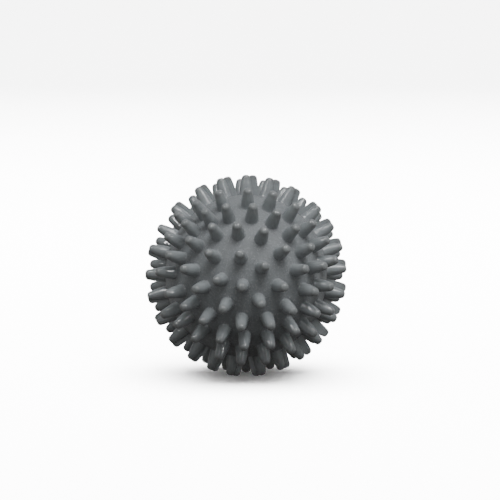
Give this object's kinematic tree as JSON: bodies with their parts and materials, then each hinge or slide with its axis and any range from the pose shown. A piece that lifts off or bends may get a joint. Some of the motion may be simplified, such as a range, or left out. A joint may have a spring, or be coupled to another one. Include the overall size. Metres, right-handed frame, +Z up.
{
  "type": "spiky sensory ball",
  "caption": "Hollow soft vinyl ball set all over with short round-tipped spikes, made of half shells joined at a seam, with a pull-out stopper in its air valve.",
  "frame": {"origin": "on the floor, straight below the centre of the ball as it rests on its lowest spike tips", "axes": "+Z up, +X to the right as seen from the front, -Y towards the front; the shell without the valve faces the front, and its pole looks 6.3 degrees above -Y"},
  "size_m": [0.0899, 0.0894, 0.0893],
  "materials": {
    "soft_vinyl": "satin",
    "valve": "satin"
  },
  "bodies": {
    "ball": {"front_shell": "soft_vinyl", "rear_shell": "soft_vinyl", "valve_bush": "valve"},
    "stopper": {"valve_stopper": "valve"}
  },
  "joints": [
    {"name": "stopper_pull", "type": "slide", "parent": "ball", "child": "stopper", "axis": [0, 0.994, -0.1098], "range_m": [0, 0.006]}
  ]
}
